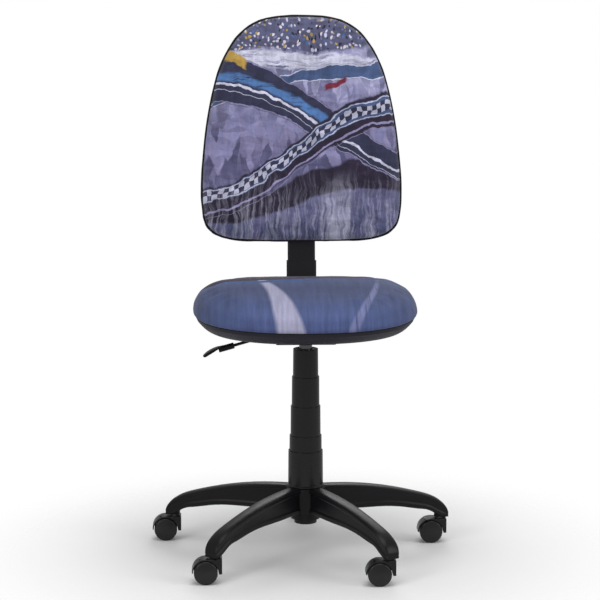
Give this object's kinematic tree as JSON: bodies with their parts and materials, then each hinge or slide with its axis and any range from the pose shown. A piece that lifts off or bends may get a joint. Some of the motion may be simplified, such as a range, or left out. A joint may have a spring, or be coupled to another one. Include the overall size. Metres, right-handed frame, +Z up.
{
  "type": "swivel desk chair",
  "caption": "Child's swivel desk chair with a star base on twin-wheel casters, gas lift, telescopic cover, upholstered seat and a tall upholstered backrest on a flat bar.",
  "frame": {"origin": "the point of the floor under the swivel axis", "axes": "+Z up along the swivel axis, -Y the way the sitter faces, +X to the sitter's left"},
  "size_m": [0.6503, 0.6165, 1.1395],
  "materials": {
    "nylon": "satin moulded",
    "wheel": "satin moulded",
    "cover": "fine moulded grain",
    "shell": "fine moulded grain",
    "bush": "smooth",
    "knob": "fine moulded grain",
    "black_steel": "satin powder coat",
    "steel": "zinc plated",
    "bright_steel": "ground and polished",
    "rubber": "matte",
    "plywood": "raw",
    "seat_fabric": "printed weave",
    "back_fabric": "printed weave"
  },
  "bodies": {
    "base": {"star_base": "nylon", "column_tube": "black_steel", "guide_bush": "bush", "bearing_washer": "steel", "caster_stems": "steel", "cover_section_5": "cover"},
    "lift_rod": {"piston_rod": "bright_steel", "thrust_bearing": "steel", "rod_clip": "steel", "rod_buffer": "rubber"},
    "seat": {"gas_cylinder": "bright_steel", "taper_socket": "black_steel", "mechanism_housing": "black_steel", "seat_board": "plywood", "seat_pad": "seat_fabric", "seat_shell": "shell", "seat_bolts": "steel", "tee_nuts": "steel", "shell_screws": "steel", "tilt_pin": "steel", "tilt_spring": "steel", "lever_pin": "steel"},
    "lever": {"lever_rod": "black_steel", "lever_handle": "knob"},
    "button": {"release_button": "steel"},
    "tilt_carrier": {"bar_carrier": "black_steel"},
    "depth_knob_turning": {"depth_knob": "knob"},
    "bar": {"back_bar": "black_steel", "bar_cover_lower": "cover"},
    "back": {"back_board": "plywood", "back_pad": "back_fabric", "back_shell": "shell", "slide_bracket": "black_steel", "bar_cover_upper": "cover", "back_bolts": "steel"},
    "height_knob_turning": {"height_knob": "knob"},
    "cover_1": {"cover_section_1": "cover"},
    "cover_2": {"cover_section_2": "cover"},
    "cover_3": {"cover_section_3": "cover"},
    "cover_4": {"cover_section_4": "cover"},
    "caster_1": {"caster_housing_1": "nylon", "caster_axle_1": "steel"},
    "wheel_left_1": {"caster_wheel_left_1": "wheel"},
    "wheel_right_1": {"caster_wheel_right_1": "wheel"},
    "caster_2": {"caster_housing_2": "nylon", "caster_axle_2": "steel"},
    "wheel_left_2": {"caster_wheel_left_2": "wheel"},
    "wheel_right_2": {"caster_wheel_right_2": "wheel"},
    "caster_3": {"caster_housing_3": "nylon", "caster_axle_3": "steel"},
    "wheel_left_3": {"caster_wheel_left_3": "wheel"},
    "wheel_right_3": {"caster_wheel_right_3": "wheel"},
    "caster_4": {"caster_housing_4": "nylon", "caster_axle_4": "steel"},
    "wheel_left_4": {"caster_wheel_left_4": "wheel"},
    "wheel_right_4": {"caster_wheel_right_4": "wheel"},
    "caster_5": {"caster_housing_5": "nylon", "caster_axle_5": "steel"},
    "wheel_left_5": {"caster_wheel_left_5": "wheel"},
    "wheel_right_5": {"caster_wheel_right_5": "wheel"}
  },
  "joints": [
    {"name": "seat_swivel", "type": "hinge", "parent": "base", "child": "lift_rod", "pos_m": [0, 0, 0], "axis": [0, 0, 1], "continuous": true},
    {"name": "height_lift", "type": "slide", "parent": "lift_rod", "child": "seat", "axis": [0, 0, 1], "range_m": [-0.12, 0]},
    {"name": "release_lever", "type": "hinge", "parent": "seat", "child": "lever", "pos_m": [-0.045, 0, 0.498], "axis": [0, 1, 0], "range_deg": [0, 5], "stiffness_Nm_per_rad": 2, "springref_deg": -8.59},
    {"name": "release_button", "type": "slide", "parent": "seat", "child": "button", "axis": [0, 0, -1], "range_m": [0, 0.0039], "stiffness_N_per_m": 200, "springref_m": -0.01},
    {"name": "back_tilt", "type": "hinge", "parent": "seat", "child": "tilt_carrier", "pos_m": [0, 0.055, 0.472], "axis": [-1, 0, 0], "range_deg": [0, 18], "stiffness_Nm_per_rad": 60, "springref_deg": -20.05},
    {"name": "bar_depth", "type": "slide", "parent": "tilt_carrier", "child": "bar", "axis": [0, 1, 0], "range_m": [-0.01, 0.04]},
    {"name": "depth_knob_turn", "type": "hinge", "parent": "tilt_carrier", "child": "depth_knob_turning", "pos_m": [0, 0.12, 0.46], "axis": [0, 0, 1], "continuous": true},
    {"name": "back_height", "type": "slide", "parent": "bar", "child": "back", "axis": [0, 0.1132, 0.9936], "range_m": [-0.02, 0.04]},
    {"name": "height_knob_turn", "type": "hinge", "parent": "back", "child": "height_knob_turning", "pos_m": [0, 0.26242, 0.73341], "axis": [0, 0.9936, -0.1132], "continuous": true},
    {"name": "cover_1_slide", "type": "slide", "parent": "base", "child": "cover_1", "axis": [0, 0, 1], "range_m": [-0.12, 0]},
    {"name": "cover_2_slide", "type": "slide", "parent": "base", "child": "cover_2", "axis": [0, 0, 1], "range_m": [-0.0871, 0]},
    {"name": "cover_3_slide", "type": "slide", "parent": "base", "child": "cover_3", "axis": [0, 0, 1], "range_m": [-0.0531, 0]},
    {"name": "cover_4_slide", "type": "slide", "parent": "base", "child": "cover_4", "axis": [0, 0, 1], "range_m": [-0.0191, 0]},
    {"name": "caster_swivel_1", "type": "hinge", "parent": "base", "child": "caster_1", "pos_m": [0.29775, 0.07479, 0.05], "axis": [0, 0, 1], "continuous": true},
    {"name": "wheel_left_turn_1", "type": "hinge", "parent": "caster_1", "child": "wheel_left_1", "pos_m": [0.27805, 0.07472, 0.025], "axis": [0.0035, -1, 0], "continuous": true},
    {"name": "wheel_right_turn_1", "type": "hinge", "parent": "caster_1", "child": "wheel_right_1", "pos_m": [0.27805, 0.07472, 0.025], "axis": [0.0035, -1, 0], "continuous": true},
    {"name": "caster_swivel_2", "type": "hinge", "parent": "base", "child": "caster_2", "pos_m": [0.02088, 0.30629, 0.05], "axis": [0, 0, 1], "continuous": true},
    {"name": "wheel_left_turn_2", "type": "hinge", "parent": "caster_2", "child": "wheel_left_2", "pos_m": [0.00118, 0.30622, 0.025], "axis": [0.0035, -1, 0], "continuous": true},
    {"name": "wheel_right_turn_2", "type": "hinge", "parent": "caster_2", "child": "wheel_right_2", "pos_m": [0.00118, 0.30622, 0.025], "axis": [0.0035, -1, 0], "continuous": true},
    {"name": "caster_swivel_3", "type": "hinge", "parent": "base", "child": "caster_3", "pos_m": [-0.28485, 0.11451, 0.05], "axis": [0, 0, 1], "continuous": true},
    {"name": "wheel_left_turn_3", "type": "hinge", "parent": "caster_3", "child": "wheel_left_3", "pos_m": [-0.30455, 0.11444, 0.025], "axis": [0.0035, -1, 0], "continuous": true},
    {"name": "wheel_right_turn_3", "type": "hinge", "parent": "caster_3", "child": "wheel_right_3", "pos_m": [-0.30455, 0.11444, 0.025], "axis": [0.0035, -1, 0], "continuous": true},
    {"name": "caster_swivel_4", "type": "hinge", "parent": "base", "child": "caster_4", "pos_m": [-0.19692, -0.23552, 0.05], "axis": [0, 0, 1], "continuous": true},
    {"name": "wheel_left_turn_4", "type": "hinge", "parent": "caster_4", "child": "wheel_left_4", "pos_m": [-0.21663, -0.23559, 0.025], "axis": [0.0035, -1, 0], "continuous": true},
    {"name": "wheel_right_turn_4", "type": "hinge", "parent": "caster_4", "child": "wheel_right_4", "pos_m": [-0.21663, -0.23559, 0.025], "axis": [0.0035, -1, 0], "continuous": true},
    {"name": "caster_swivel_5", "type": "hinge", "parent": "base", "child": "caster_5", "pos_m": [0.16314, -0.26007, 0.05], "axis": [0, 0, 1], "continuous": true},
    {"name": "wheel_left_turn_5", "type": "hinge", "parent": "caster_5", "child": "wheel_left_5", "pos_m": [0.14344, -0.26014, 0.025], "axis": [0.0035, -1, 0], "continuous": true},
    {"name": "wheel_right_turn_5", "type": "hinge", "parent": "caster_5", "child": "wheel_right_5", "pos_m": [0.14344, -0.26014, 0.025], "axis": [0.0035, -1, 0], "continuous": true}
  ],
  "couplings": [
    {"joint": "release_button", "follows": "release_lever", "m_per_rad": 0.044},
    {"joint": "cover_1_slide", "follows": "height_lift", "ratio": 1},
    {"joint": "cover_2_slide", "follows": "height_lift", "ratio": 0.725},
    {"joint": "cover_3_slide", "follows": "height_lift", "ratio": 0.442},
    {"joint": "cover_4_slide", "follows": "height_lift", "ratio": 0.158}
  ]
}
